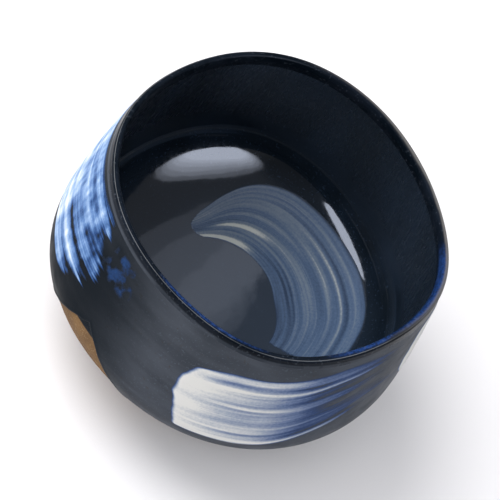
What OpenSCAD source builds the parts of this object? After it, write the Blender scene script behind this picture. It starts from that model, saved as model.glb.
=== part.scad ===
// Matcha tea bowl: a thrown stoneware wall on a turned foot, with its glaze coats and slip strokes.
// Millimetres, +Z up. The origin is the centre of the foot's resting face.

/* [Bowl] */
// Radius of the glazed wall at its widest
belly_r = 60; // [56:0.5:64]
// Height of the widest place above the table
belly_z = 36; // [35:0.5:40]
// Mean height of the lip above the table
rim_z = 78; // [77:0.5:86]
// Outside radius just under the lip
rim_r = 54.7; // [52:0.1:57]
// Wall thickness at the lip
lip_w = 3; // [2.8:0.1:3.4]
// Wall thickness at the belly
belly_w = 4.5; // [4:0.1:6]
// Height of the well's lowest point above the table
well_z = 13.5; // [12:0.5:16]

/* [Hand-made waves] */
// How far the mouth is squeezed out of round, as a share of the radius
squeeze = 0.017; // [0:0.001:0.02]
// How far the lip rises and dips
lip_wave = 2; // [0:0.1:2.5]

/* [Foot] */
// Radius of the foot where it joins the wall
foot_r = 27; // [25:0.5:28]
// Height of the foot ring
foot_h = 5.5; // [5:0.1:6]
// Width of the foot ring
foot_w = 6; // [5:0.1:7]

/* [Coats] */
// Thickness of the glaze
glaze_t = 0.5; // [0.4:0.05:0.6]
// Thickness of the brushed slip
slip_t = 0.3; // [0.2:0.05:0.4]
// Angle where the two dips meet and leave the clay bare
gap_angle = 242; // [230:1:250]
// Height of the bare clay's peak
gap_peak = 39.6; // [34:0.1:41]
// Lowest height that the glaze reaches
glaze_foot_z = 9; // [8.5:0.1:11]

/* [Brush strokes] */
// Columns from the gap to the front stroke's blunt start
front_start = 5; // [4:1:7]
// Columns that the front stroke runs on for
front_run = 12; // [8:1:12]
// Columns from the gap to the right stroke's start
right_start = 18; // [18:1:20]
// Columns that the right stroke runs on for
right_run = 11; // [6:1:11]
// Columns from the gap back to the left stroke's start
left_start = 14; // [10:1:18]
// Columns that the left stroke runs on for
left_run = 13; // [8:1:13]
// Columns from the gap to the well stroke's end
well_start = 19; // [16:1:24]
// Columns that the well stroke runs on for
well_run = 23; // [12:1:24]

/* [Hidden] */

// Every coat shares one set of columns, so neighbours meet face to face.
columns = 60;
step = 360 / columns;
half = columns / 2;

// Superellipse powers and depths of the wall below the belly, outside and inside
outer_power = 2.3;
outer_depth = 33;
inner_power = 2.2;
inner_depth = belly_z - well_z;
// Power of the curve that draws the wall in towards the lip
shoulder_power = 1.46;
rim_rise = rim_z - belly_z;
lip_r = lip_w / 2;
// Lip coat's edges below the lip, outside and inside
lip_out = 4;
lip_in = 5;
// Slope of the two dips' waterlines
left_slope = 0.75;
right_slope = 0.93;
// Heights between which the wall turns from round at the foot to squeezed at the belly
round_z = 6;
squeezed_z = 26;

function clamp01(t) = max(0, min(1, t));
function smooth(t) = let (u = clamp01(t)) u * u * (3 - 2 * u);
function mix(a, b, t) = a + (b - a) * t;
function col_angle(j) = gap_angle + step * j;

// Plan of the mouth: a lean and two, three and four lobes over the turn, growing from the round foot
function plan(a, z) =
    1 + squeeze * smooth((z - round_z) / (squeezed_z - round_z))
      * (0.15 + 0.36 * sin(a) - 0.22 * cos(2 * a) - 0.37 * sin(2 * a) + 0.5 * cos(3 * a)
         - 0.82 * sin(3 * a) + 0.56 * sin(4 * a));

// Rise and dip of the lip, fading out down to the belly
function lift(a, z) =
    lip_wave * pow(clamp01((z - belly_z) / rim_rise), 2)
      * (0.97 * cos(2 * a) + 0.42 * cos(3 * a) - 0.54 * sin(3 * a) + 0.23 * cos(4 * a)
         - 0.25 * sin(4 * a) - 0.2 * sin(5 * a));

// Radius of the quarter superellipse below the belly, and of the curve above it
function below(h, r, depth, power) = r * pow(max(0, 1 - pow(min(1, h / depth), power)), 1 / power);
function above(h, r, top) = r - (r - top) * pow(h / rim_rise, shoulder_power);
function outer_r(z) = z < belly_z ? below(belly_z - z, belly_r, outer_depth, outer_power)
                                  : above(z - belly_z, belly_r, rim_r);
inner_belly = belly_r - belly_w;
inner_rim = rim_r - lip_w;
function inner_r(z) = above(max(0, z - belly_z), inner_belly, inner_rim);

// A profile point [radius, height] carried to column angle a, with the plan and the lift
function place(a, p) =
    let (r = p[0] * plan(a, p[1]))
    [r * cos(a), r * sin(a), p[1] + lift(a, p[1])];

// A profile point pushed sideways by d, to the right of the direction from q0 to q1
function beside(p, q0, q1, d) =
    let (t = (q1 - q0) / norm(q1 - q0))
    [p[0] - d * t[1], p[1] + d * t[0]];

// Outside wall at height z, d deep in it
nudge = 0.01;
function outside(z, d) =
    beside([outer_r(z), z], [outer_r(z - nudge), z - nudge], [outer_r(z + nudge), z + nudge], d);

// Inside wall above the belly at height z, and the well at radius r, both d deep in the clay
function inside(z, d) =
    beside([inner_r(z), z], [inner_r(z + nudge), z + nudge], [inner_r(z - nudge), z - nudge], d);
function well_height(r) =
    belly_z - inner_depth * pow(max(0, 1 - pow(r / inner_belly, inner_power)), 1 / inner_power);
function in_well(r, d) =
    beside([r, well_height(r)], [r + nudge, well_height(r + nudge)], [r - nudge, well_height(r - nudge)], d);

// Heights of the waterline that the two dips leave around the foot
function waterline(a) =
    max(glaze_foot_z,
        gap_peak - belly_r * abs(sin(a - gap_angle)) * (sin(a - gap_angle) < 0 ? left_slope : right_slope));

// Lower and upper edges of the band that the outside strokes fill, by columns from the gap
function from_gap(j) = j > half ? j - columns : j;
function band_low(j) =
    lookup(from_gap(j), [[-half, 46], [-14, 40], [-4, 41], [0, 46],
                         [5, 30], [10, 31], [13, 38], [17, 48], [20, 44], [half, 46]]);
function band_high(j) =
    lookup(from_gap(j), [[-half, 66], [-14, 70], [-4, 72], [0, 66],
                         [5, 56], [7, 63], [12, 68], [17, 71], [half, 66]]);

// Inner and outer radius of the band that the well stroke fills, by columns from the gap
function well_low(j) = lookup(j, [[0, 22], [20, 21], [42, 25], [columns, 22]]);
function well_high(j) =
    lookup(j, [[0, 42], [20, 44], [24, 49], [30, 50], [34, 49], [37, 45], [39, 40], [42, 31], [columns, 42]]);

// Heights up the glazed outside at column j: three stretches, parted by the stroke's edges
bare_rows = 5;
low_rows = 4;
band_rows = 4;
high_rows = 2;
low_crowd = 1.6; // above 1 crowds the rows near the foot, where the wall turns flat
function between(a, b, n, crowd = 1) = [for (i = [1:n]) mix(a, b, pow(i / n, crowd))];
function glaze_heights(j) =
    let (z0 = waterline(col_angle(j)), z1 = band_low(j), z2 = band_high(j), z3 = rim_z - lip_out)
    concat([z0], between(z0, z1, low_rows, low_crowd),
           between(z1, z2, band_rows), between(z2, z3, high_rows));

// Profile points down the glazed inside at column j: the wall by height, then the well by radius,
// crowded where its side is steep and parted by the stroke's edges
wall_rows = 4;
side_rows = 4;
floor_rows = 3;
pole_r = 3;
function side_radii(r1) = [for (i = [1:side_rows]) mix(r1, inner_belly, cos(90 * i / side_rows))];
function inside_profile(j, d) =
    let (top = rim_z - lip_in, r1 = well_high(j), r2 = well_low(j))
    concat([for (z = concat([top], between(top, belly_z, wall_rows))) inside(z, d)],
           [for (r = concat(side_radii(r1), between(r1, r2, band_rows), between(r2, pole_r, floor_rows)))
               in_well(r, d)]);

// Half round of the lip, d deep, from outside to inside
lip_steps = 6;
function lip_arc(d) =
    [for (i = [0:lip_steps])
        let (s = 180 * i / lip_steps)
        [rim_r - lip_r, rim_z - lip_r] + (lip_r - d) * [cos(s), sin(s)]];

// The three surfaces at column j, d deep in their coat
function outside_line(j, d) = [for (z = glaze_heights(j)) place(col_angle(j), outside(z, d))];
function lip_line(j, d) = [for (p = lip_arc(d)) place(col_angle(j), p)];
function inside_line(j, d) = [for (p = inside_profile(j, d)) place(col_angle(j), p)];

// The clay below the glaze at column j: trimmed recess with its nub, seat of the foot, bare flank
recess_r = foot_r - foot_w;
recess_rise = 1.2;
nub_r = 3;
nub_drop = 0.8;
function underside_line(j) =
    let (z0 = waterline(col_angle(j)))
    [for (p = concat([[nub_r, foot_h + recess_rise], [recess_r / 2, foot_h + recess_rise],
                      [recess_r, foot_h], [foot_r, foot_h]],
                     [for (i = [1:bare_rows - 1])
                         outside(mix(foot_h, z0, pow(i / bare_rows, low_crowd)), glaze_t)]))
        place(col_angle(j), p)];

// Faces of a grid given as columns of points, numbered from first; a closed grid wraps round
function flipped(faces) = [for (f = faces) [f[2], f[1], f[0]]];
function grid_faces(first, rows, cols, closed) =
    [for (i = [0:rows - 2], j = [0:cols - (closed ? 1 : 2)])
        let (a = first + j * rows + i, b = first + ((j + 1) % cols) * rows + i)
        each [[a, a + 1, b + 1], [a, b + 1, b]]];

// Faces between two matching lines of point numbers, and from a pole to a ring of them
function ribbon(p, q) =
    [for (i = [0:len(p) - 2]) each [[p[i], p[i + 1], q[i + 1]], [p[i], q[i + 1], q[i]]]];
function fan(pole, ring) = [for (i = [0:len(ring) - 2]) [pole, ring[i], ring[i + 1]]];

function flat(lists) = [for (l = lists) each l];

// One coat: a front grid on the air side and a back grid on what it covers, joined at their edges.
// A closed coat runs right round; one with poles also closes over its last row.
module coat(front, back, closed = false, poles = []) {
    cols = len(front);
    rows = len(front[0]);
    base = cols * rows;
    around = closed ? [for (j = [0:cols]) j % cols] : [for (j = [0:cols - 1]) j];
    function row(start, i) = [for (j = around) start + j * rows + i];
    function column(start, j) = [for (i = [0:rows - 1]) start + j * rows + i];
    last_edge = len(poles) == 0
        ? flipped(ribbon(row(0, rows - 1), row(base, rows - 1)))
        : concat(flipped(fan(2 * base, row(0, rows - 1))), fan(2 * base + 1, row(base, rows - 1)));
    ends = closed ? []
        : concat(flipped(ribbon(column(0, 0), column(base, 0))),
                 ribbon(column(0, cols - 1), column(base, cols - 1)));
    polyhedron(points = concat(flat(front), flat(back), poles),
               faces = concat(grid_faces(0, rows, cols, closed),
                              flipped(grid_faces(base, rows, cols, closed)),
                              ribbon(row(0, 0), row(base, 0)), last_edge, ends));
}

// A solid closed by a pole below its first row and another past its last
module turned(lines, low_pole, high_pole) {
    cols = len(lines);
    rows = len(lines[0]);
    base = cols * rows;
    function ring(i) = [for (j = [0:cols]) (j % cols) * rows + i];
    polyhedron(points = concat(flat(lines), [low_pole, high_pole]),
               faces = concat(grid_faces(0, rows, cols, true), fan(base, ring(0)),
                              flipped(fan(base + 1, ring(rows - 1)))));
}

all_columns = [0:columns - 1];
clay_color = [0.68, 0.55, 0.38];
slip_color = [0.82, 0.86, 0.92];

// The thrown wall and floor, with the recess that is trimmed inside the foot
module clay_body() {
    color(clay_color)
        turned([for (j = all_columns)
                   concat(underside_line(j), outside_line(j, glaze_t),
                          lip_line(j, glaze_t), inside_line(j, glaze_t))],
               [0, 0, foot_h + recess_rise - nub_drop], [0, 0, well_z - glaze_t]);
}

// The turned foot ring, with its resting edge eased on both sides
foot_ease = 0.8;
foot_draft = 0.6;
module foot_ring() {
    low_r = foot_r - foot_draft;
    color(clay_color)
        rotate_extrude($fn = 96)
            polygon([[recess_r, foot_h], [recess_r + foot_draft, foot_ease],
                     [recess_r + foot_draft + foot_ease, 0], [low_r - foot_ease, 0],
                     [low_r, foot_ease], [foot_r, foot_h]]);
}

// One dip of the outside glaze: half a turn of the wall, from the waterline to the lip coat
module dip(first) {
    coat([for (j = [first:first + half]) outside_line(j, 0)],
         [for (j = [first:first + half]) outside_line(j, glaze_t)]);
}

module left_dip_glaze() {
    color([0.17, 0.18, 0.19]) dip(-half);
}

module right_dip_glaze() {
    color([0.24, 0.25, 0.27]) dip(0);
}

module inner_glaze() {
    color([0.12, 0.14, 0.19])
        coat([for (j = all_columns) inside_line(j, 0)], [for (j = all_columns) inside_line(j, glaze_t)],
             closed = true, poles = [[0, 0, well_z], [0, 0, well_z - glaze_t]]);
}

// The lip coat runs over the half round, between the outside glaze and the inside one
module lip_glaze() {
    function over(j, d) =
        concat([place(col_angle(j), outside(rim_z - lip_out, d))], lip_line(j, d),
               [place(col_angle(j), inside(rim_z - lip_in, d))]);
    color([0.2, 0.26, 0.42])
        coat([for (j = all_columns) over(j, 0)], [for (j = all_columns) over(j, glaze_t)], closed = true);
}

// A brush stroke: the band's rows over a run of columns, thick in the middle and thin at its edges
edge_share = 0.4;
function slip_depth(i, k, run) =
    i == 0 || i == band_rows || k == 0 || k == run ? -edge_share * slip_t : -slip_t;

module outside_stroke(first, run) {
    cells = [for (k = [0:run])
                let (z = glaze_heights(first + k))
                [for (i = [0:band_rows]) z[low_rows + i]]];
    function sheet(raised) = [for (k = [0:run]) [for (i = [0:band_rows])
        place(col_angle(first + k), outside(cells[k][i], raised ? slip_depth(i, k, run) : 0))]];
    color(slip_color) coat(sheet(true), sheet(false));
}

module front_brush_stroke() {
    outside_stroke(front_start, front_run);
}

module right_brush_stroke() {
    outside_stroke(right_start, right_run);
}

module left_brush_stroke() {
    outside_stroke(-left_start, left_run);
}

module well_brush_stroke() {
    function radii(j) = concat([well_high(j)], between(well_high(j), well_low(j), band_rows));
    function sheet(raised) = [for (k = [0:well_run]) let (j = well_start + k, r = radii(j))
        [for (i = [0:band_rows])
            place(col_angle(j), in_well(r[i], raised ? slip_depth(i, k, well_run) : 0))]];
    color(slip_color) coat(sheet(true), sheet(false));
}

clay_body();
foot_ring();
left_dip_glaze();
right_dip_glaze();
inner_glaze();
lip_glaze();
front_brush_stroke();
right_brush_stroke();
left_brush_stroke();
well_brush_stroke();
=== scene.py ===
import bpy
import math
import numpy as np
from mathutils import Matrix, Vector


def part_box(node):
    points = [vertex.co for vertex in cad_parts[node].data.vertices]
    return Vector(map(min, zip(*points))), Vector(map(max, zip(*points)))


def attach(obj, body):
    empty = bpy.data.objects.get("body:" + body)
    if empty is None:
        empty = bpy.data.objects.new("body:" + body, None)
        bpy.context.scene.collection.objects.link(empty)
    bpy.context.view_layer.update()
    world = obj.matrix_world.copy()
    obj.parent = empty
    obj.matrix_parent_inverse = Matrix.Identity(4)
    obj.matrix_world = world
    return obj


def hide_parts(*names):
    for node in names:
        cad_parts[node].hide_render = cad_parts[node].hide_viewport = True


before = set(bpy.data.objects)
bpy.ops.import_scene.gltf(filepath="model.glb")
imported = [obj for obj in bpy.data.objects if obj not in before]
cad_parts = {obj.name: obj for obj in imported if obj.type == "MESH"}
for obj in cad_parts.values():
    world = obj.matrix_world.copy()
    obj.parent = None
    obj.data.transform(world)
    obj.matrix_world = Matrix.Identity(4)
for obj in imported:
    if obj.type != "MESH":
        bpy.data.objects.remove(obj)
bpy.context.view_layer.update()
print("frame loaded")

deg = math.radians

# The bowl's form, in metres and radians
bowl = {
    "belly": 0.060, "bellyHeight": 0.036, "outerDepth": 0.033, "outerPower": 2.3,
    "rim": 0.0547, "rimHeight": 0.078, "shoulderPower": 1.46, "lipWidth": 0.003,
    "innerBelly": 0.0555, "wellHeight": 0.0135, "innerPower": 2.2,
    "squeeze": 0.017, "roundBelow": 0.006, "squeezeSpan": 0.020,
    "lipWave": 0.002, "lipOut": 0.004, "lipIn": 0.005,
    "glaze": 0.0005, "inset": 0.00036, "slipBack": 0.0003, "slipSink": 0.00006,
    "gapAngle": deg(242), "gapPeak": 0.0396, "glazeFoot": 0.009,
    "leftSlope": 0.75, "rightSlope": 0.93,
    "outsideRing": 0.000012, "outsidePitch": 0.0052, "wellRing": 0.000006, "wellPitch": 0.0061,
}
lipRadius = bowl["lipWidth"] / 2
lipCentre = bowl["rim"] - lipRadius + 0.0003  # a little outside the middle of the wall's top
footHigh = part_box("foot_ring")[1]
foot = {"outer": footHigh[0], "height": footHigh[2], "width": 0.006, "draft": 0.0006, "ease": 0.0008}
recess = foot["outer"] - foot["width"]
nudge = 1e-5  # the step over which a curve's slope is read


def smooth(t):
    u = np.clip(t, 0, 1)
    return u * u * (3 - 2 * u)


def mix(a, b, t):
    return a + (b - a) * t


# Plan: a circle at the foot that grows a slight lean and two, three and four soft lobes by the belly
def plan(angle, height):
    lobes = (0.15 + 0.36 * np.sin(angle) - 0.22 * np.cos(2 * angle) - 0.37 * np.sin(2 * angle)
             + 0.5 * np.cos(3 * angle) - 0.82 * np.sin(3 * angle) + 0.56 * np.sin(4 * angle))
    return 1 + bowl["squeeze"] * smooth((height - bowl["roundBelow"]) / bowl["squeezeSpan"]) * lobes


# Lift: a sum of slow waves round the lip, fading with the square of the height above the belly
def lift(angle, height):
    rise = np.clip((height - bowl["bellyHeight"]) / (bowl["rimHeight"] - bowl["bellyHeight"]), 0, 1.1)
    waves = (0.97 * np.cos(2 * angle) + 0.42 * np.cos(3 * angle) - 0.54 * np.sin(3 * angle)
             + 0.23 * np.cos(4 * angle) - 0.25 * np.sin(4 * angle) - 0.2 * np.sin(5 * angle))
    return bowl["lipWave"] * rise ** 2 * waves


# Curve above the belly: the radius falls from the belly's to the rim's with a power of the height
def above(rise, radius, top):
    share = rise / (bowl["rimHeight"] - bowl["bellyHeight"])
    return radius - (radius - top) * share ** bowl["shoulderPower"]


def outerRadius(height):
    drop = np.clip((bowl["bellyHeight"] - height) / bowl["outerDepth"], 0, 0.99999)
    low = bowl["belly"] * (1 - drop ** bowl["outerPower"]) ** (1 / bowl["outerPower"])
    high = above(np.clip(height - bowl["bellyHeight"], 0, None), bowl["belly"], bowl["rim"])
    return np.where(height < bowl["bellyHeight"], low, high)


def innerRadius(height):
    rise = np.clip(height - bowl["bellyHeight"], 0, None)
    return above(rise, bowl["innerBelly"], bowl["rim"] - bowl["lipWidth"])


def wellHeight(radius):
    fill = np.clip(radius / bowl["innerBelly"], 0, 0.99999)
    depth = bowl["bellyHeight"] - bowl["wellHeight"]
    return bowl["bellyHeight"] - depth * (1 - fill ** bowl["innerPower"]) ** (1 / bowl["innerPower"])


# Profile points moved sideways by depth, to the right of the direction of travel
def beside(radius, height, alongRadius, alongHeight, depth):
    length = np.hypot(alongRadius, alongHeight)
    return radius - depth * alongHeight / length, height + depth * alongRadius / length


def place(angle, radius, height):
    turned = radius * plan(angle, height)
    return np.stack([turned * np.cos(angle), turned * np.sin(angle), height + lift(angle, height)], -1)


# Outside wall: the superellipse and shoulder curve, sunk by depth, with shallow spiral throwing rings
def outside(angle, height, depth):
    wave = 1 + np.sin(angle + height * 2 * np.pi / bowl["outsidePitch"])
    rings = bowl["outsideRing"] * wave * smooth((height - 0.012) / 0.01)
    along = outerRadius(height + nudge) - outerRadius(height - nudge)
    radius, raised = beside(outerRadius(height), height, along, 2 * nudge, depth + bowl["inset"] + rings)
    return place(angle, radius, raised)


# Inside wall above the belly, sunk into the clay by depth
def inside(angle, height, depth):
    along = innerRadius(height - nudge) - innerRadius(height + nudge)
    radius, raised = beside(innerRadius(height), height, along, -2 * nudge, depth)
    return place(angle, radius, raised)


# Well: the inside superellipse by radius, sunk by depth, with rings that open out from the centre
def well(angle, radius, depth):
    wave = np.sin(angle - radius * 2 * np.pi / bowl["wellPitch"])
    rings = bowl["wellRing"] * wave * smooth((radius - 0.004) / 0.01)
    along = wellHeight(radius - nudge) - wellHeight(radius + nudge)
    newRadius, raised = beside(radius, wellHeight(radius), -2 * nudge, along, depth + rings)
    return place(angle, newRadius, raised)


# Waterline: two slanted dips meet in a peak at the gap, neither comes below glazeFoot, and both are ragged
def waterline(angle):
    side = np.sin(angle - bowl["gapAngle"])
    slope = np.where(side < 0, bowl["leftSlope"], bowl["rightSlope"])
    ragged = 0.00018 * np.sin(31 * angle) + 0.00012 * np.sin(67 * angle + 1.3)
    return np.maximum(bowl["glazeFoot"], bowl["gapPeak"] - bowl["belly"] * np.abs(side) * slope) + ragged


# Lip: a half round centred between the two walls, thinned by depth
def lipArc(angle, sweep, depth):
    reach = lipRadius - bowl["inset"] - depth
    height = bowl["rimHeight"] - lipRadius + reach * np.sin(sweep)
    return place(angle, lipCentre + reach * np.cos(sweep), height)


def ringOf(columns):
    return np.arange(columns)[None, :] * 2 * np.pi / columns


def column(values):
    return np.asarray(values)[:, None]


# Four-sided faces over a grid of rows by columns, wrapped round where the grid is a closed ring
def gridQuads(rows, cols, start, wrap, flip):
    i, j = np.meshgrid(np.arange(rows - 1), np.arange(cols if wrap else cols - 1), indexing="ij")
    a = start + i * cols + j
    b = start + i * cols + (j + 1) % cols
    quads = np.stack([a, b, b + cols, a + cols], -1).reshape(-1, 4)
    return quads[:, ::-1] if flip else quads


# Faces that join one line of points to another
def ribbonQuads(p, q, flip):
    quads = np.stack([p[:-1], q[:-1], q[1:], p[1:]], -1)
    return quads[:, ::-1] if flip else quads


# The fan's quads repeat the pole, and makeMesh turns them into triangles
def fanQuads(pole, ring, flip):
    fan = np.stack([np.full(len(ring) - 1, pole), ring[:-1], ring[1:], ring[1:]], -1)
    return np.stack([fan[:, 0], fan[:, 2], fan[:, 1], fan[:, 1]], -1) if flip else fan


def makeMesh(name, points, quads, uv=None, extras=None):
    sizes = np.where(quads[:, 2] == quads[:, 3], 3, 4)
    keep = np.ones(quads.shape, bool)
    keep[sizes == 3, 3] = False
    corners = quads[keep]
    mesh = bpy.data.meshes.new(name)
    mesh.vertices.add(len(points))
    mesh.vertices.foreach_set("co", points.astype(np.float32).ravel())
    mesh.loops.add(len(corners))
    mesh.loops.foreach_set("vertex_index", corners.astype(np.int32))
    mesh.polygons.add(len(sizes))
    mesh.polygons.foreach_set("loop_start", np.concatenate([[0], np.cumsum(sizes)[:-1]]).astype(np.int32))
    mesh.polygons.foreach_set("use_smooth", np.ones(len(sizes), bool))
    mesh.update(calc_edges=True)
    if uv is not None:
        layer = mesh.uv_layers.new(name="surface")
        layer.data.foreach_set("uv", uv[corners].astype(np.float32).ravel())
    for label, values in (extras or {}).items():
        mesh.attributes.new(label, "FLOAT", "POINT").data.foreach_set("value", values.astype(np.float32))
    mesh.validate()
    mesh.set_sharp_from_angle(angle=math.radians(45))
    piece = bpy.data.objects.new(name, mesh)
    bpy.context.scene.collection.objects.link(piece)
    return piece


# A coat: a front grid and a back grid of rows by columns, joined round their edges
def coat(name, front, back, wrap=False, poles=None, extras=None, uv=None):
    rows, cols = front.shape[:2]
    base = rows * cols
    grid = np.arange(base).reshape(rows, cols)
    ring = np.concatenate([grid, grid[:, :1]], 1) if wrap else grid
    quads = [gridQuads(rows, cols, 0, wrap, False), gridQuads(rows, cols, base, wrap, True),
             ribbonQuads(ring[0], ring[0] + base, False)]
    points = [front.reshape(-1, 3), back.reshape(-1, 3)]
    if poles is None:
        quads.append(ribbonQuads(ring[-1], ring[-1] + base, True))
    else:
        points.append(np.array(poles))
        quads.append(fanQuads(2 * base, ring[-1], False))
        quads.append(fanQuads(2 * base + 1, ring[-1] + base, True))
    if not wrap:
        quads.append(ribbonQuads(grid[:, 0], grid[:, 0] + base, True))
        quads.append(ribbonQuads(grid[:, -1], grid[:, -1] + base, False))
    tail = 0 if poles is None else 2
    both = {k: np.concatenate([v.ravel(), v.ravel(), np.full(tail, v.ravel()[-1])])
            for k, v in (extras or {}).items()}
    flat = None if uv is None else np.concatenate([uv.reshape(-1, 2)] * 2 + [np.zeros((tail, 2))])
    return makeMesh(name, np.concatenate(points), np.concatenate(quads), flat, both)


# Hand a finished piece over: it rides on the bowl's one body and stands in for its CAD node
def settle(piece, node, material):
    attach(piece, "root")
    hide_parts(node)
    piece.data.materials.append(material)
    print(piece.name, len(piece.data.vertices), "points")


# Smooth noise: seeded random values on a square lattice, eased from one to the next
def noise(x, y, seed):
    lattice = np.random.default_rng(seed).random((256, 256))
    i, j = np.floor(x).astype(int), np.floor(y).astype(int)
    u, v = smooth(x - i), smooth(y - j)
    low = mix(lattice[i % 256, j % 256], lattice[(i + 1) % 256, j % 256], u)
    high = mix(lattice[i % 256, (j + 1) % 256], lattice[(i + 1) % 256, (j + 1) % 256], u)
    return mix(low, high, v)


# One node material; a plain value goes straight on its socket and a socket is linked
class Surface:
    def __init__(self, name, **fixed):
        self.material = bpy.data.materials.new(name)
        self.material.use_nodes = True
        self.nodes = self.material.node_tree.nodes
        self.links = self.material.node_tree.links
        self.shader = self.nodes["Principled BSDF"]
        for label, value in fixed.items():
            self.shader.inputs[label.replace("_", " ")].default_value = value
        self.point = self.node("ShaderNodeTexCoord", pick="Object")
        self.x, self.y, self.z = self.parts(self.point)

    def feed(self, socket, value):
        if isinstance(value, bpy.types.NodeSocket):
            self.links.new(value, socket)
        else:
            socket.default_value = value

    def node(self, kind, *values, pick=0, **settings):
        made = self.nodes.new(kind)
        for label, value in settings.items():
            setattr(made, label, value)
        for socket, value in zip(made.inputs, values):
            if value is not None:
                self.feed(socket, value)
        return made.outputs[pick]

    def parts(self, vector):
        made = self.nodes.new("ShaderNodeSeparateXYZ")
        self.feed(made.inputs[0], vector)
        return made.outputs[0], made.outputs[1], made.outputs[2]

    def math(self, operation, *values):
        return self.node("ShaderNodeMath", *values, operation=operation)

    def stretch(self, vector, scale):
        return self.node("ShaderNodeVectorMath", vector, scale, operation="MULTIPLY")

    def noise(self, vector, scale, detail=2.0, roughness=0.5):
        return self.node("ShaderNodeTexNoise", vector, None, scale, detail, roughness)

    def span(self, value, low, high, start=0.0, end=1.0):
        return self.node("ShaderNodeMapRange", value, low, high, start, end,
                         interpolation_type="SMOOTHSTEP")

    def blend(self, factor, first, second):
        return self.node("ShaderNodeMix", factor, None, None, None, None, None, first, second,
                         pick=2, data_type="RGBA")

    def ramp(self, value, *stops):
        made = self.nodes.new("ShaderNodeValToRGB")
        self.feed(made.inputs[0], value)
        elements = made.color_ramp.elements
        while len(elements) < len(stops):
            elements.new(0.5)
        for element, (spot, color) in zip(elements, stops):
            element.position = spot
            element.color = (*color, 1)
        return made.outputs[0]

    def attribute(self, label):
        return self.node("ShaderNodeAttribute", pick="Fac", attribute_name=label)

    def finish(self, color, roughness, height, distance):
        self.feed(self.shader.inputs["Base Color"], color)
        self.feed(self.shader.inputs["Roughness"], roughness)
        bump = self.nodes.new("ShaderNodeBump")
        bump.inputs["Distance"].default_value = distance
        self.feed(bump.inputs["Height"], height)
        self.links.new(bump.outputs[0], self.shader.inputs["Normal"])
        return self.material


def rgb(r, g, b):
    return (r, g, b, 1)


# How near an azimuth the surface is: one at the azimuth, falling to zero at the reach
def facing(s, azimuth, reach):
    turn = deg(azimuth)
    flat = s.math("SQRT", s.math("ADD", s.math("MULTIPLY", s.x, s.x), s.math("MULTIPLY", s.y, s.y)))
    toward = s.math("ADD", s.math("MULTIPLY", s.x, math.cos(turn)), s.math("MULTIPLY", s.y, math.sin(turn)))
    return s.span(s.math("DIVIDE", toward, flat), math.cos(deg(reach)), 1.0)


# Outside glaze's colours in linear light; its low index of refraction keeps it satin
outsideLook = {"ior": 1.10, "slipGloss": 0.02,
               "slate": rgb(0.034, 0.040, 0.050), "haze": rgb(0.056, 0.064, 0.079),
               "ring": rgb(0.068, 0.076, 0.092), "speck": rgb(0.070, 0.083, 0.105),
               # The black, with its azimuth and reach below, is painted shade: the side left of the gap is
               # darkened as if in the bowl's own shadow
               "brown": rgb(0.045, 0.036, 0.028), "black": rgb(0.0015, 0.0040, 0.0070),
               "shadeAzimuth": 222, "shadeReach": 46}


# Outside glaze: slate with soft clouds, painted shade in near-black on the side left of the gap (a little
# lighter near the lip), fine pale and brown specks
def outsideGlaze(s):
    look = outsideLook
    cloud = s.noise(s.stretch(s.point, (1, 1, 2.2)), 38.0, 3.0)
    speck = s.noise(s.point, 1500.0, 1.0)
    brown = s.noise(s.point, 620.0, 2.0)
    ring = s.noise(s.stretch(s.point, (0.05, 0.05, 1)), 330.0, 2.0)
    slate = s.blend(s.span(cloud, 0.32, 0.68), look["slate"], look["haze"])
    slate = s.blend(s.span(ring, 0.45, 0.75, 0, 0.35), slate, look["ring"])
    low = s.span(s.math("ADD", s.z, s.math("MULTIPLY", s.math("SUBTRACT", cloud, 0.5), 0.03)),
                 0.060, 0.080, 1.0, 0.75)
    # Painted shade: the side facing the shade azimuth is laid over with near-black, a little less of it
    # towards the lip
    shade = s.math("MULTIPLY", facing(s, look["shadeAzimuth"], look["shadeReach"]), low)
    color = s.blend(s.span(speck, 0.60, 0.74, 0, 0.55), slate, look["speck"])
    color = s.blend(s.span(brown, 0.62, 0.78, 0, 0.5), color, look["brown"])
    color = s.blend(s.math("MULTIPLY", shade, 0.98), color, look["black"])
    height = s.math("ADD", s.math("MULTIPLY", speck, 0.25), s.noise(s.point, 420.0, 2.0))
    rough = s.span(s.noise(s.point, 160.0, 3.0), 0.3, 0.7, 0.34, 0.46)
    return color, rough, height


insideLook = {"ior": 1.5, "slipGloss": 0.0, "wallHaze": 0.20,
              "night": rgb(0.0035, 0.0060, 0.0095), "blue": rgb(0.0065, 0.0115, 0.0200),
              "pool": rgb(0.017, 0.027, 0.045), "speck": rgb(0.020, 0.032, 0.055)}


# Inside glaze: blue-black, bluer where it pools, softer in its shine up the wall, with fine specks
def insideGlaze(s):
    look = insideLook
    pool = s.noise(s.stretch(s.point, (1, 1, 0.5)), 60.0, 3.0)
    speck = s.noise(s.point, 1300.0, 1.0)
    color = s.blend(s.span(pool, 0.35, 0.7), look["night"], look["blue"])
    deep = s.math("ADD", s.z, s.math("MULTIPLY", s.math("SUBTRACT", pool, 0.5), 0.010))
    color = s.blend(s.span(deep, 0.030, 0.013, 0.0, 0.9), color, look["pool"])
    color = s.blend(s.span(speck, 0.62, 0.76, 0, 0.6), color, look["speck"])
    height = s.math("ADD", s.noise(s.point, 260.0, 1.0), s.math("MULTIPLY", speck, 0.06))
    scuff = s.noise(s.stretch(s.point, (1, 1, 0.2)), 900.0, 3.0)
    wall = s.span(s.z, 0.031, 0.045, 0.0, look["wallHaze"])
    rough = s.math("ADD", s.span(scuff, 0.35, 0.75, 0.06, 0.11), wall)
    return color, rough, height


clayLook = {"ior": 1.3, "brown": rgb(0.118, 0.062, 0.023), "tan": rgb(0.180, 0.102, 0.042),
            "iron": rgb(0.10, 0.055, 0.025), "quartz": rgb(0.36, 0.25, 0.14),
            "scorch": rgb(0.14, 0.085, 0.050)}


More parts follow.
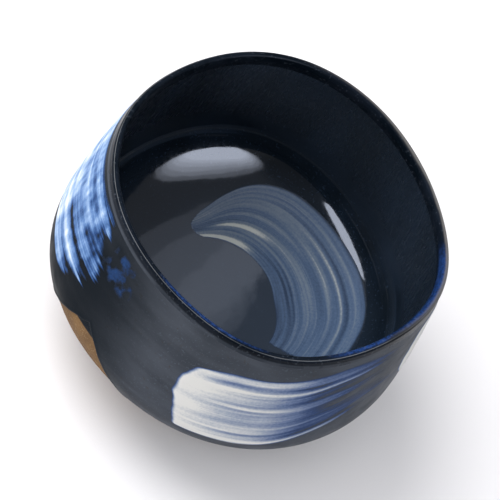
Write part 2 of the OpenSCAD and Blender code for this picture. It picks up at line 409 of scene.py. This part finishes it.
# Bare clay: mottled brown and tan, with turning lines, sand, and a scorched band under the glaze
def clayMaterial():
    look = clayLook
    s = Surface("bareClay", IOR=look["ior"])
    mottled = s.noise(s.point, 130.0, 4.0)
    sand = s.noise(s.point, 1700.0, 2.0)
    turned = s.noise(s.stretch(s.point, (0.06, 0.06, 1)), 900.0, 2.0)
    color = s.blend(s.span(mottled, 0.3, 0.7), look["brown"], look["tan"])
    color = s.blend(s.span(sand, 0.60, 0.72, 0, 0.7), color, look["iron"])
    color = s.blend(s.span(sand, 0.40, 0.30, 0, 0.6), color, look["quartz"])
    color = s.blend(s.span(s.z, 0.0415, 0.036, 0.45, 0.0), color, look["scorch"])
    height = s.math("ADD", s.math("MULTIPLY", turned, 0.6), s.math("MULTIPLY", sand, 0.5))
    return s.finish(color, s.span(mottled, 0.3, 0.7, 0.72, 0.88), height, 0.00025)


footLook = {"iron": rgb(0.09, 0.05, 0.025), "worn": rgb(0.15, 0.105, 0.07)}


# Foot: the same clay, rubbed smooth and greyer on its resting edge
def footMaterial():
    s = Surface("footClay", IOR=clayLook["ior"])
    mottled = s.noise(s.point, 170.0, 4.0)
    sand = s.noise(s.point, 1900.0, 2.0)
    color = s.blend(s.span(mottled, 0.3, 0.7), clayLook["brown"], clayLook["tan"])
    color = s.blend(s.span(sand, 0.60, 0.72, 0, 0.7), color, footLook["iron"])
    worn = s.span(s.math("ADD", s.z, s.math("MULTIPLY", mottled, 0.0012)), 0.0004, 0.0014, 0.6, 0.0)
    color = s.blend(worn, color, footLook["worn"])
    rough = s.math("SUBTRACT", s.span(mottled, 0.3, 0.7, 0.76, 0.88), s.math("MULTIPLY", worn, 0.25))
    return s.finish(color, rough, s.math("ADD", sand, mottled), 0.00022)


def dipMaterial(name):
    s = Surface(name, IOR=outsideLook["ior"])
    color, rough, height = outsideGlaze(s)
    return s.finish(color, rough, height, 0.00005)


def innerMaterial():
    s = Surface("innerGlaze", IOR=insideLook["ior"])
    color, rough, height = insideGlaze(s)
    return s.finish(color, rough, height, 0.000018)


lipLook = {"ior": 1.12, "black": rgb(0.002, 0.004, 0.007), "ink": rgb(0.006, 0.009, 0.015),
           "slate": rgb(0.022, 0.027, 0.036), "haze": rgb(0.042, 0.049, 0.062),
           "cobalt": rgb(0.010, 0.033, 0.125),
           # The brown band and the pale edge line carry painted reflection and a painted highlight on top of
           # the glaze's own break
           "brown": rgb(0.135, 0.128, 0.125), "edge": rgb(0.13, 0.135, 0.14), "speck": rgb(0.06, 0.07, 0.09)}


# Lip: black, with cobalt run down inside it; a brown-grey band over the top, partly the glaze's own brown
# break and partly painted reflection on the far side; and a pale line on the outer shoulder, partly thinned
# glaze and partly a painted highlight
def lipMaterial():
    look = lipLook
    s = Surface("lipGlaze", IOR=look["ior"])
    patch = s.noise(s.point, 75.0, 3.0)
    speck = s.noise(s.point, 1300.0, 1.0)
    across = s.attribute("across")
    black = s.blend(s.span(patch, 0.35, 0.65), look["black"], look["ink"])
    slate = s.blend(s.span(patch, 0.35, 0.65), look["slate"], look["haze"])
    ragged = s.math("ADD", across, s.math("MULTIPLY", s.math("SUBTRACT", patch, 0.5), 0.16))
    color = s.blend(s.span(ragged, 0.10, 0.21), slate, black)
    side = s.math("MAXIMUM", facing(s, 349, 44), s.math("MULTIPLY", facing(s, 272, 26), 0.9))
    inner = s.math("MULTIPLY", s.span(ragged, 0.40, 0.52), s.span(ragged, 0.96, 0.80))
    cobalt = s.math("MULTIPLY", inner, s.span(side, 0.1, 0.7))
    cobalt = s.math("MULTIPLY", cobalt, s.span(patch, 0.25, 0.5, 0.3, 1.0))
    cobalt = s.math("MULTIPLY", cobalt, s.span(speck, 0.36, 0.60, 0.35, 1.0))
    color = s.blend(cobalt, color, look["cobalt"])
    # Brown-grey band over the top, strongest on the side facing azimuth 40: partly the glaze's brown break,
    # partly painted reflection of light off the far lip
    brown = s.math("MULTIPLY", s.span(ragged, 0.28, 0.36), s.span(ragged, 0.60, 0.48))
    brown = s.math("MULTIPLY", brown, s.math("MULTIPLY", facing(s, 40, 75), 0.8))
    color = s.blend(brown, color, look["brown"])
    # Pale line on the outer shoulder: partly thinned glaze, partly a painted highlight
    line = s.math("MULTIPLY", s.span(across, 0.375, 0.395), s.span(across, 0.42, 0.40))
    color = s.blend(s.math("MULTIPLY", line, s.span(patch, 0.3, 0.6, 0.3, 0.9)), color, look["edge"])
    color = s.blend(s.span(speck, 0.62, 0.76, 0, 0.5), color, look["speck"])
    rough = s.span(patch, 0.3, 0.7, 0.22, 0.34)
    return s.finish(color, rough, s.noise(s.point, 420.0, 2.0), 0.00004)


# Break the load up with a noise, by up to strength where the slip is thick
def roughen(s, load, pattern, strength):
    spread = s.span(load, 0.02, 0.4, 0, strength)
    return s.math("ADD", load, s.math("MULTIPLY", s.math("SUBTRACT", pattern, 0.5), spread))


# Slip: the glaze where the load is nil, then deep blue, pale blue and white as it thickens
def slipMaterial(name, under, look, tones):
    s = Surface(name, IOR=look["ior"])
    color, rough, height = under(s)
    uv = s.node("ShaderNodeUVMap", uv_map="surface")
    hair = s.noise(s.stretch(uv, (1, 26, 1)), 60.0, 4.0, 0.6)
    grain = s.noise(s.point, 1400.0, 2.0)
    load = roughen(s, s.attribute("slip"), hair, 0.34)
    load = roughen(s, load, grain, 0.22)
    slip = s.ramp(load, *tones)
    color = s.blend(s.span(load, 0.03, 0.22), color, slip)
    thick = s.span(load, 0.3, 0.9)
    rough = s.math("ADD", rough, s.math("MULTIPLY", thick, look["slipGloss"]))
    height = s.math("ADD", s.math("MULTIPLY", hair, 1.5), height)
    return s.finish(color, rough, height, 0.00006)


print("materials ready")

# Clay body: underside, wall and floor as one turned solid, a hair clear of the coats that cover it
clay = {"columns": 360, "bareRows": 70, "bareTop": 0.0435, "lipStart": 0.0755, "recessRise": 0.0012,
        "nubDrop": 0.0008, "nubRadius": 0.003, "underRows": 36, "clear": 0.00005,
        "spiral": 0.00008, "spiralPitch": 0.0026, "chisel": 0.00005, "chiselPitch": 0.0021}


# Trimmed recess: a low dome with a soft nub and the chisel's spiral, level under the foot ring
def underHeight(angle, radius):
    dome = clay["recessRise"] * smooth((recess - radius) / (recess / 2))
    nub = clay["nubDrop"] * np.exp(-(radius / clay["nubRadius"]) ** 2)
    spiral = clay["spiral"] * np.sin(angle - radius * 2 * np.pi / clay["spiralPitch"])
    return foot["height"] + dome - nub + spiral * smooth((recess - radius) / 0.002) * smooth(radius / 0.002)


def buildClay():
    angle = ringOf(clay["columns"])
    reach = column(np.linspace(0.0006, recess, clay["underRows"]))
    under = place(angle, reach + 0 * angle, underHeight(angle, reach))
    shelf = place(angle, np.full_like(angle, foot["outer"] - 0.0001), np.full_like(angle, foot["height"]))
    low = foot["height"] + 0.0001
    heights = low + (clay["bareTop"] - low) * np.linspace(0, 1, clay["bareRows"]) ** 1.7
    heights = column(np.concatenate([heights, np.linspace(clay["bareTop"], clay["lipStart"], 11)[1:]]))
    chisel = clay["chisel"] * np.sin(angle + heights * 2 * np.pi / clay["chiselPitch"])
    wall = outside(angle, heights, bowl["glaze"] + clay["clear"] + chisel * smooth((0.034 - heights) / 0.01))
    lip = lipArc(angle, column(np.linspace(0, np.pi, 9)), bowl["glaze"])
    inner = inside(angle, column(np.linspace(clay["lipStart"], bowl["bellyHeight"], 10)), bowl["glaze"])
    reach = column(bowl["innerBelly"] * np.cos(np.linspace(0.1, 1.52, 14)))
    floor = well(angle, reach, bowl["glaze"] + 2 * clay["clear"])
    rows = np.concatenate([under, shelf, wall, lip, inner, floor])
    count, columns = rows.shape[:2]
    grid = np.arange(count * columns).reshape(count, columns)
    ring = np.concatenate([grid, grid[:, :1]], 1)
    base = count * columns
    deepest = bowl["wellHeight"] - bowl["glaze"] - 2 * clay["clear"]
    poles = [[0, 0, float(underHeight(0, 0))], [0, 0, deepest]]
    quads = [gridQuads(count, columns, 0, True, False), fanQuads(base, ring[0], True),
             fanQuads(base + 1, ring[-1], False)]
    return makeMesh("clayBody", np.concatenate([rows.reshape(-1, 3), poles]), np.concatenate(quads))


settle(buildClay(), "clay_body", clayMaterial())

# Foot ring: a lathe profile with eased resting edges and fine turning lines
ringShape = {"columns": 256, "easeSteps": 8, "sideSteps": 14, "baseSteps": 16, "neck": 0.0004,
             "line": 0.00004, "linePitch": 0.0011, "wobble": 0.00008, "clear": 0.0001}


def buildFoot():
    ease, draft, top = foot["ease"], foot["draft"], foot["height"]
    inLow, outLow = recess + draft, foot["outer"] - draft
    turn = np.linspace(0, np.pi / 2, ringShape["easeSteps"])
    across = np.linspace(inLow + ease, outLow - ease, ringShape["baseSteps"])
    rise = np.linspace(ease, top, ringShape["sideSteps"])
    up = (rise - ease) / (top - ease)
    neck = ringShape["neck"] * np.sin(np.pi * up) ** 2
    lines = ringShape["line"] * (1 - np.cos(across * 2 * np.pi / ringShape["linePitch"]))
    lines = lines * np.sin(np.pi * (across - across[0]) / (across[-1] - across[0]))
    profile = np.concatenate([
        np.stack([inLow + ease - ease * np.cos(turn), ease - ease * np.sin(turn)], -1)[:-1],
        np.stack([across, lines], -1),
        np.stack([outLow - ease + ease * np.sin(turn), ease - ease * np.cos(turn)], -1)[1:-1],
        np.stack([mix(outLow, foot["outer"], up) - neck, rise], -1),
        np.stack([mix(inLow, recess, up[::-1]), rise[::-1]], -1)[:-1]])
    angle = ringOf(ringShape["columns"])
    wobble = ringShape["wobble"] * np.sin(3 * angle + 0.4) * profile[:, 1:] / top
    radius = profile[:, :1] + wobble - ringShape["clear"]
    rows = place(angle, radius, profile[:, 1:] + 0 * angle)
    count, columns = rows.shape[:2]
    grid = np.arange(count * columns).reshape(count, columns)
    ring = np.concatenate([grid, grid[:, :1]], 1)
    quads = [gridQuads(count, columns, 0, True, False),
             ribbonQuads(ring[-1], ring[0], True)]
    return makeMesh("footRing", rows.reshape(-1, 3), np.concatenate(quads))


settle(buildFoot(), "foot_ring", footMaterial())

# Outside glaze: two dips, each half a turn, with a rounded bead at the waterline
dip = {"columns": 240, "rows": 110, "crowd": 1.5, "roll": 0.0009, "bead": 0.00012, "beadAt": 0.0012,
       "beadWidth": 0.0009}


def buildDip(name, start):
    angle = start + np.linspace(0, np.pi, dip["columns"])[None, :]
    water = waterline(angle)
    share = column(np.linspace(0, 1, dip["rows"])) ** dip["crowd"]
    height = mix(water, bowl["rimHeight"] - bowl["lipOut"], share)
    climb = np.hypot(height - water, outerRadius(height) - outerRadius(water))
    edge = 1 - np.clip(climb / dip["roll"], 0, 1)
    thick = bowl["glaze"] * np.sqrt(np.clip(1 - edge ** 2, 0.02, 1))
    bead = dip["bead"] * np.exp(-((climb - dip["beadAt"]) / dip["beadWidth"]) ** 2)
    front = outside(angle, height, bowl["glaze"] - thick - bead)
    back = outside(angle, height, bowl["glaze"] + 0 * height)
    return coat(name, front, back)


leftDip = buildDip("leftDip", bowl["gapAngle"] - math.pi)
settle(leftDip, "left_dip_glaze", dipMaterial("leftDipGlaze"))
rightDip = buildDip("rightDip", bowl["gapAngle"])
settle(rightDip, "right_dip_glaze", dipMaterial("rightDipGlaze"))

# Inner glaze: down the wall by height, then over the well by radius
inner = {"columns": 300, "wallRows": 50, "wellRows": 80}


def buildInner():
    angle = ringOf(inner["columns"])
    heights = column(np.linspace(bowl["rimHeight"] - bowl["lipIn"], bowl["bellyHeight"], inner["wallRows"]))
    reach = column(bowl["innerBelly"] * np.cos(np.linspace(0, 1.55, inner["wellRows"])[1:]))
    front = np.concatenate([inside(angle, heights, 0), well(angle, reach, 0)])
    back = np.concatenate([inside(angle, heights, bowl["glaze"]), well(angle, reach, bowl["glaze"])])
    poles = [[0, 0, bowl["wellHeight"]], [0, 0, bowl["wellHeight"] - bowl["glaze"]]]
    return coat("innerGlaze", front, back, True, poles)


settle(buildInner(), "inner_glaze", innerMaterial())

# Lip glaze: over the half round from the outside coat to the inside one
lip = {"columns": 400, "sideRows": 7, "roundRows": 17, "sideTop": 0.0757}


def buildLip():
    angle = ringOf(lip["columns"])
    up = column(np.linspace(bowl["rimHeight"] - bowl["lipOut"], lip["sideTop"], lip["sideRows"]))
    down = column(np.linspace(lip["sideTop"], bowl["rimHeight"] - bowl["lipIn"], lip["sideRows"]))
    sweep = column(np.linspace(0.0, np.pi, lip["roundRows"]))

    def over(depth):
        arc = lipArc(angle, sweep, depth)
        return np.concatenate([outside(angle, up, depth), arc, inside(angle, down, depth)])

    front, back = over(0), over(bowl["glaze"])
    across = np.repeat(column(np.linspace(0, 1, len(front))), lip["columns"], 1)
    return coat("lipGlaze", front, back, True, extras={"across": across})


settle(buildLip(), "lip_glaze", lipMaterial())


# A line through a few points, with its corners rounded off by a running mean
def curve(value, points, ease=3.0):
    spots = [np.interp(value + shift, *points) for shift in np.linspace(-ease, ease, 9)]
    return sum(spots) / len(spots)


# A window from first to last, soft by ease at both ends
def window(value, first, last, ease):
    return smooth((value - first) / ease) * smooth((last - value) / ease)


# Bristle tracks: noise drawn out along the stroke, coarse hanks and fine hairs
def bristles(along, across, seed, hanks, hairs):
    coarse = noise(across * hanks, along * 1.6 + 7, seed)
    fine = noise(across * hairs, along * 3.1 + 3, seed + 1)
    hair = noise(across * hairs * 2.7, along * 5.3, seed + 2)
    return coarse - 0.5, fine - 0.5, hair - 0.5


# Pale ridges that single bristles leave: each has a place across, a width, a strength and a stretch
def ridges(along, across, lines):
    total = 0 * across
    for centre, width, strength, first, last in lines:
        ridge = np.exp(-((across - centre) / width) ** 2) * window(along, first, last, 0.16)
        total = total + strength * ridge
    return total


# Slip surface: it stands proud by the load, and sinks just under the glaze where the load is nil
def slipDepth(load, thickness):
    return bowl["slipSink"] * (1 - smooth(load / 0.08)) - thickness * load


def outsideSheet(name, angle, height, load, thickness):
    front = outside(angle, height, slipDepth(load, thickness))
    back = outside(angle, height, bowl["slipBack"] + 0 * load)
    uv = np.stack([(angle - angle[0, 0]) * bowl["belly"] * 100 + 0 * height, height * 100 + 0 * angle], -1)
    return coat(name, front, back, extras={"slip": load}, uv=uv)


# Front stroke: a blunt lobed start in thick white, then streaks that climb and run out to the right
frontBrush = {
    "first": deg(270.8), "last": deg(345), "columns": 260, "rows": 130, "thickness": 0.00022,
    "margin": 0.0012,
    "lowZ": ([271, 284, 299, 307, 315, 320, 326, 334, 345], [29, 29, 30.3, 31.7, 35.6, 38.9, 42.2, 48, 50]),
    "highZ": ([271, 281, 288, 300, 312, 321, 345], [60.5, 61.9, 64.7, 66.5, 69.1, 71.8, 73]),
    "start": ([28, 32, 37, 45, 50, 54, 57, 60, 64],
              [279.4, 277.8, 275.8, 273.4, 272.4, 272.6, 274.0, 276.4, 282.5]),
    "body": ([0, 0.12, 0.25, 0.42, 0.60, 0.78, 0.92, 1.0], [1.00, 0.90, 0.68, 0.53, 0.17, 0.07, 0.03, 0.0]),
    "rough": ([0, 0.12, 0.3, 0.7, 1.0], [0.12, 0.3, 0.62, 0.44, 0.34]),
    "ridges": [(0.93, 0.025, 0.16, 0.0, 0.60), (0.78, 0.022, 0.30, 0.05, 0.90), (0.56, 0.018, 0.20, 0.1, 0.6),
               (0.44, 0.060, 0.18, 0.3, 0.7), (0.08, 0.030, 0.42, 0.0, 0.86), (0.84, 0.03, -0.32, 0.08, 0.7),
               (0.20, 0.03, -0.14, 0.2, 0.7)]}
frontTones = ((0.0, (0.014, 0.020, 0.036)), (0.20, (0.024, 0.050, 0.135)), (0.42, (0.120, 0.165, 0.285)),
              (0.66, (0.330, 0.370, 0.440)), (0.92, (0.640, 0.635, 0.610)))


def buildFront():
    brush = frontBrush
    angle = np.linspace(brush["first"], brush["last"], brush["columns"])[None, :]
    turned = np.degrees(angle)
    low, high = (curve(turned, brush[k]) / 1000 for k in ("lowZ", "highZ"))
    low, high = low - brush["margin"], high + brush["margin"]
    up = column(np.linspace(0, 1, brush["rows"]))
    height = mix(low, high, up)
    along = (angle - brush["first"]) / (brush["last"] - brush["first"]) + 0 * height
    across = up + 0 * angle
    blunt = curve(height * 1000, brush["start"], 1.2)
    lobes = 0.30 * np.cos(2 * np.pi * height / 0.0083 + 0.9)
    lobes = lobes + 1.4 * (noise(height * 420, 0 * height, 5) - 0.5)
    coarse, fine, hair = bristles(along, across, 21, 9, 30)
    sides = window(across + 0.02 * hair, 0.02, 0.98, 0.050)
    mask = smooth((turned - 0.7 - blunt - lobes) / 1.9) * sides
    body = np.interp(along, *brush["body"])
    body = body + 0.18 * smooth((0.35 - across) / 0.35) * window(along, 0, 0.62, 0.2)
    rough = np.interp(along, *brush["rough"])
    load = body + rough * (0.75 * coarse + 0.50 * fine + 0.30 * hair)
    load = load + ridges(along, across, brush["ridges"])
    return outsideSheet("frontStroke", angle, height, np.clip(load, 0, 1.1) * mask, brush["thickness"])


frontSlip = slipMaterial("frontSlip", outsideGlaze, outsideLook, frontTones)
settle(buildFront(), "front_brush_stroke", frontSlip)

# Left stroke: milky at the far side, blue nearer the gap, ending in ragged tips and blue mottling
leftBrush = {
    "first": deg(157), "last": deg(251), "columns": 330, "rows": 120, "thickness": 0.00022,
    "lowZ": 0.0365, "highZ": 0.0735,
    "tips": ([37, 39, 45.5, 50, 55, 59, 62, 68, 74], [219, 224, 230, 234, 237, 238, 234, 230, 227]),
    "body": ([157, 185, 197, 208, 222, 240], [0.92, 0.82, 0.68, 0.52, 0.42, 0.30]),
    "ridges": [(0.06, 0.03, 0.22, 0.1, 0.62), (0.16, 0.035, -0.36, 0.55, 1.0), (0.27, 0.03, 0.25, 0.1, 0.9),
               (0.39, 0.04, -0.40, 0.45, 1.0), (0.54, 0.05, 0.14, 0.55, 1.0), (0.82, 0.07, -0.10, 0.3, 0.7),
               (0.80, 0.06, 0.10, 0.58, 0.92), (0.7, 0.03, 0.10, 0.1, 0.8)]}
leftTones = ((0.0, (0.005, 0.012, 0.034)), (0.22, (0.015, 0.050, 0.155)), (0.45, (0.090, 0.180, 0.380)),
             (0.70, (0.260, 0.380, 0.580)), (0.98, (0.620, 0.670, 0.740)))


def buildLeft():
    brush = leftBrush
    angle = np.linspace(brush["first"], brush["last"], brush["columns"])[None, :]
    turned = np.degrees(angle)
    across = column(np.linspace(0, 1, brush["rows"])) + 0 * angle
    height = mix(brush["lowZ"], brush["highZ"], across)
    along = (angle - brush["first"]) / (brush["last"] - brush["first"]) + 0 * height
    coarse, fine, hair = bristles(along, across, 41, 10, 34)
    tips = np.interp(height * 1000, *brush["tips"]) + 6 * coarse + 7 * fine + 3 * hair
    ends = smooth((tips - turned) / 5) * smooth((turned - 159 - 6 * fine) / 4)
    sides = smooth((across + 0.03 * hair) / 0.05) * smooth((1.0 - across + 0.05 * hair) / 0.08)
    body = np.interp(turned, *brush["body"])
    drift = 0.6 * noise(angle * 16, height * 150, 45) + 0.4 * noise(angle * 40, height * 420, 46) - 0.5
    load = (body + 0.34 * coarse + 0.30 * fine + 0.22 * hair + 0.62 * drift) * ends
    load = load + ends * ridges(along, across, brush["ridges"])
    cloud = noise(angle * 30, height * 420, 61) + 0.3 * noise(angle * 110, height * 1500, 62)
    patch = window(turned, 230, 251, 6) * window(height, 0.056, 0.0748, 0.005)
    load = np.maximum(load, 0.17 * smooth((cloud - 0.30) / 0.8) * patch) * sides
    return outsideSheet("leftStroke", angle, height, np.clip(load, 0, 1.1), brush["thickness"])


leftSlip = slipMaterial("leftSlip", outsideGlaze, outsideLook, leftTones)
settle(buildLeft(), "left_brush_stroke", leftSlip)

# Right stroke: the same brush on the far side, pale at its start and streaked out behind
rightBrush = {
    "first": deg(347), "last": deg(417), "columns": 250, "rows": 100, "thickness": 0.00022,
    "lowZ": ([347, 360, 380, 417], [48, 46, 44, 45]), "highZ": ([347, 360, 385, 417], [72, 73, 71, 67]),
    "body": ([0, 0.15, 0.35, 0.6, 0.85, 1.0], [1.0, 0.85, 0.62, 0.42, 0.16, 0.0]),
    "rough": ([0, 0.15, 0.4, 1.0], [0.15, 0.35, 0.6, 0.5]),
    "ridges": [(0.9, 0.03, 0.3, 0.0, 0.8), (0.5, 0.025, 0.25, 0.1, 0.9), (0.12, 0.03, 0.3, 0.0, 0.9)]}


def buildRight():
    brush = rightBrush
    angle = np.linspace(brush["first"], brush["last"], brush["columns"])[None, :]
    turned = np.degrees(angle)
    low, high = (curve(turned, brush[k]) / 1000 for k in ("lowZ", "highZ"))
    up = column(np.linspace(0, 1, brush["rows"]))
    height = mix(low, high, up)
    along = (angle - brush["first"]) / (brush["last"] - brush["first"]) + 0 * height
    across = up + 0 * angle
    coarse, fine, hair = bristles(along, across, 81, 8, 28)
    blunt = 348.5 + 2.2 * noise(height * 240, 0 * height, 83) + 5 * (2 * across - 1) ** 4
    mask = smooth((turned - blunt) / 0.8) * window(across + 0.02 * hair, 0.01, 0.99, 0.04)
    rough = np.interp(along, *brush["rough"])
    load = np.interp(along, *brush["body"]) + rough * (0.9 * coarse + 0.55 * fine + 0.25 * hair)
    load = load + ridges(along, across, brush["ridges"])
    return outsideSheet("rightStroke", angle, height, np.clip(load, 0, 1.1) * mask, brush["thickness"])


rightSlip = slipMaterial("rightSlip", outsideGlaze, outsideLook, frontTones)
settle(buildRight(), "right_brush_stroke", rightSlip)

# Well stroke: one sweep round the floor under the dark glaze, cream where the slip is thick
wellBrush = {
    "first": deg(-4), "last": deg(138), "columns": 340, "rows": 110, "thickness": 0.00012, "margin": 0.0006,
    "inR": ([-4, 9, 41, 65, 93, 118, 134, 138], [21.5, 21.5, 21, 23, 24, 24.6, 25, 25]),
    "outR": ([-4, 14, 27, 45, 60, 75, 91, 105, 116, 128, 138],
             [42.5, 46, 49.5, 50.5, 50, 49.5, 48.5, 45, 39, 32.5, 31]),
    "body": ([0, 0.1, 0.3, 0.6, 1.0], [0.60, 0.60, 0.57, 0.48, 0.42]),
    "ridges": [(0.08, 0.060, 0.62, -0.1, 0.40), (0.34, 0.034, 0.56, 0.05, 0.44),
               (0.26, 0.018, 0.16, 0.2, 0.95), (0.38, 0.014, 0.12, 0.3, 0.95),
               (0.74, 0.022, 0.24, 0.2, 1.05), (0.62, 0.015, 0.13, 0.25, 0.8),
               (0.12, 0.016, 0.16, 0.2, 0.9)]}
wellTones = ((0.0, (0.006, 0.012, 0.024)), (0.25, (0.020, 0.036, 0.072)), (0.50, (0.054, 0.090, 0.162)),
             (0.75, (0.130, 0.165, 0.215)), (1.0, (0.400, 0.420, 0.405)))


def buildWell():
    brush = wellBrush
    angle = np.linspace(brush["first"], brush["last"], brush["columns"])[None, :]
    turned = np.degrees(angle)
    near, far = (curve(turned, brush[k], 6.0) / 1000 for k in ("inR", "outR"))
    near, far = near - brush["margin"], far + brush["margin"]
    out = column(np.linspace(1, 0, brush["rows"]))
    reach = mix(near, far, out)
    along = (brush["last"] - angle) / (brush["last"] - brush["first"]) + 0 * reach
    across = out + 0 * angle
    coarse, fine, hair = bristles(along, across, 101, 9, 34)
    rounded = 137 - 9 * np.abs(2 * across - 1) ** 2.4 + 1.2 * fine
    speckled = 3 * noise(angle * 70, reach * 1500, 104)
    mask = smooth((rounded - turned) / 1.2) * smooth((turned + 4.3 - 0.7 * speckled) / 2.6)
    mask = mask * window(across + 0.02 * hair, 0.01, 0.99, 0.04)
    load = np.interp(along, *brush["body"]) + 0.26 * coarse + 0.26 * fine + 0.18 * hair
    load = np.clip(load + ridges(along, across, brush["ridges"]), 0, 1.1) * mask
    front = well(angle, reach, slipDepth(load, brush["thickness"]))
    back = well(angle, reach, bowl["slipBack"] + 0 * load)
    uv = np.stack([angle * 3.5 + 0 * reach, reach * 100 + 0 * angle], -1)
    return coat("wellStroke", front, back, extras={"slip": load}, uv=uv)


wellSlip = slipMaterial("wellSlip", insideGlaze, insideLook, wellTones)
settle(buildWell(), "well_brush_stroke", wellSlip)

# The stand: a wide pale floor just under the foot, and a long lens that looks down into the bowl
studio = {"floorHalf": 4.0, "floorDrop": 0.00005,
          "pale": rgb(0.745, 0.730, 0.740), "light": rgb(0.775, 0.760, 0.770),
          "tilt": deg(38.80), "roll": deg(34.62), "eye": (0.003916, 0.006144, 0.720),
          "aim": (0, 0, 0.036), "lens": 163.9, "sensor": 36}


def makeFloor():
    half, drop = studio["floorHalf"], studio["floorDrop"]
    mesh = bpy.data.meshes.new("floor")
    mesh.from_pydata([(-half, -half, -drop), (half, -half, -drop), (half, half, -drop), (-half, half, -drop)],
                     [], [(0, 1, 2, 3)])
    floor = bpy.data.objects.new("floor", mesh)
    bpy.context.scene.collection.objects.link(floor)
    s = Surface("paleFloor")
    color = s.blend(s.noise(s.point, 9.0, 2.0), studio["pale"], studio["light"])
    mesh.materials.append(s.finish(color, 0.7, s.noise(s.point, 900.0, 2.0), 0.00002))
    return floor


makeFloor()


# Lamps, in degrees, metres and watts; the panes of one lamp are stacked so that its light fades outwards
lamps = {
    "softbox": {"azimuth": 340, "elevation": 48, "distance": 0.60, "size": (0.70, 0.48), "watts": 1.3},
    "rimStrip": {"azimuth": 216, "elevation": 33, "distance": 0.60, "size": (0.42, 0.20), "watts": 1.9},
    "panel": {"azimuth": 74, "elevation": 65.4, "distance": 1.10, "size": (0.42, 0.70), "watts": 0.40},
    "key": {"azimuth": 174, "elevation": 52, "distance": 1.6, "size": (1.3, 1.3), "watts": 31.0},
    "fill": {"azimuth": 240, "elevation": 38, "distance": 1.6, "size": (1.0, 1.0), "watts": 6.5},
}
shineTint = (0.86, 0.94, 1.14)


# An area light that faces the bowl; a shading lamp isn't mirrored, and a mirrored lamp doesn't shade
def softLight(name, azimuth, elevation, distance, size, watts, shades=False, form="ELLIPSE"):
    light = bpy.data.lights.new(name, "AREA")
    light.shape, light.size, light.size_y = form, size[0], size[1]
    light.energy, light.color = watts, (1, 1, 1) if shades else shineTint
    lamp = bpy.data.objects.new(name, light)
    bpy.context.scene.collection.objects.link(lamp)
    a, e = deg(azimuth), deg(elevation)
    out = Vector((math.cos(e) * math.cos(a), math.cos(e) * math.sin(a), math.sin(e)))
    lamp.location = out * distance + Vector((0, 0, 0.05))
    lamp.rotation_euler = out.to_track_quat("Z", "Y").to_euler()
    lamp.visible_diffuse, lamp.visible_glossy = shades, not shades


# Softbox: its panes share one low edge, so its light is crisp there and fades upwards and to one side
for share in (1.0, 0.92, 0.84, 0.76, 0.68, 0.60):
    pane = lamps["softbox"]
    width, depth = pane["size"]
    softLight("softbox", pane["azimuth"] - 10 * (1 - share), pane["elevation"] - 21 * (1 - share),
              pane["distance"], (width * share, depth * share), pane["watts"] * share ** 2)
softLight("rimStrip", **lamps["rimStrip"])

# Panel: its panes share one side edge
for share in (1.0, 0.70, 0.40):
    pane = lamps["panel"]
    width, depth = pane["size"]
    softLight("panel", pane["azimuth"] + 26 * (1 - share), pane["elevation"], pane["distance"],
              (width * share, depth), pane["watts"] * share, form="RECTANGLE")
softLight("key", shades=True, **lamps["key"])
softLight("fill", shades=True, **lamps["fill"])
print("lamps ready")

air = {"shade": 0.80, "mirrored": 0.26, "viewerSide": 0.10, "azimuth": deg(262), "elevation": deg(42),
       "wide": deg(34), "narrow": deg(18)}
world = bpy.data.worlds.new("studio")
bpy.context.scene.world = world
world.use_nodes = True
sky = world.node_tree.nodes["Background"]
sky.inputs["Color"].default_value = (0.97, 0.98, 1.0, 1)


# One node of the sky, with its inputs set or linked by name
def skyNode(kind, feeds, pick=0, **settings):
    made = world.node_tree.nodes.new(kind)
    for label, value in settings.items():
        setattr(made, label, value)
    for label, value in feeds.items():
        if isinstance(value, bpy.types.NodeSocket):
            world.node_tree.links.new(value, made.inputs[label])
        else:
            made.inputs[label].default_value = value
    return made.outputs[pick]


# Sky: even for shade; in reflections it is dimmer, and dimmer still on the side that the viewer stands on
heading = skyNode("ShaderNodeTexCoord", {}, "Generated")
level = math.cos(air["elevation"])
viewer = Vector((math.cos(air["azimuth"]) * level, math.sin(air["azimuth"]) * level,
                 math.sin(air["elevation"])))
toward = skyNode("ShaderNodeVectorMath", {0: heading, 1: viewer}, "Value", operation="DOT_PRODUCT")
falloff = {"Value": toward, "From Min": math.cos(air["wide"]), "From Max": math.cos(air["narrow"]),
           "To Min": air["mirrored"], "To Max": air["viewerSide"]}
shine = skyNode("ShaderNodeMapRange", falloff, interpolation_type="SMOOTHSTEP")
path = skyNode("ShaderNodeLightPath", {}, "Is Glossy Ray")
strength = skyNode("ShaderNodeMapRange", {"Value": path, "To Min": air["shade"], "To Max": shine})
world.node_tree.links.new(strength, sky.inputs["Strength"])

# Camera: tilted over the mouth and rolled, so that the bowl shows its inside and its front
tilt, roll = studio["tilt"], studio["roll"]
back = Vector((math.sin(tilt) * math.sin(roll), math.sin(tilt) * math.cos(roll), math.cos(tilt)))
across = Vector((math.cos(roll), -math.sin(roll), 0))
turn = Matrix((across, back.cross(across), back))
camera = bpy.data.objects.new("camera", bpy.data.cameras.new("camera"))
camera.data.sensor_width = studio["sensor"]
camera.data.lens = studio["lens"]
bpy.context.scene.collection.objects.link(camera)
stand = turn @ Vector(studio["eye"]) + Vector(studio["aim"])
camera.matrix_world = Matrix.Translation(stand) @ turn.to_4x4()
bpy.context.scene.camera = camera
bpy.context.scene.view_settings.view_transform = "Standard"

print("scene ready")
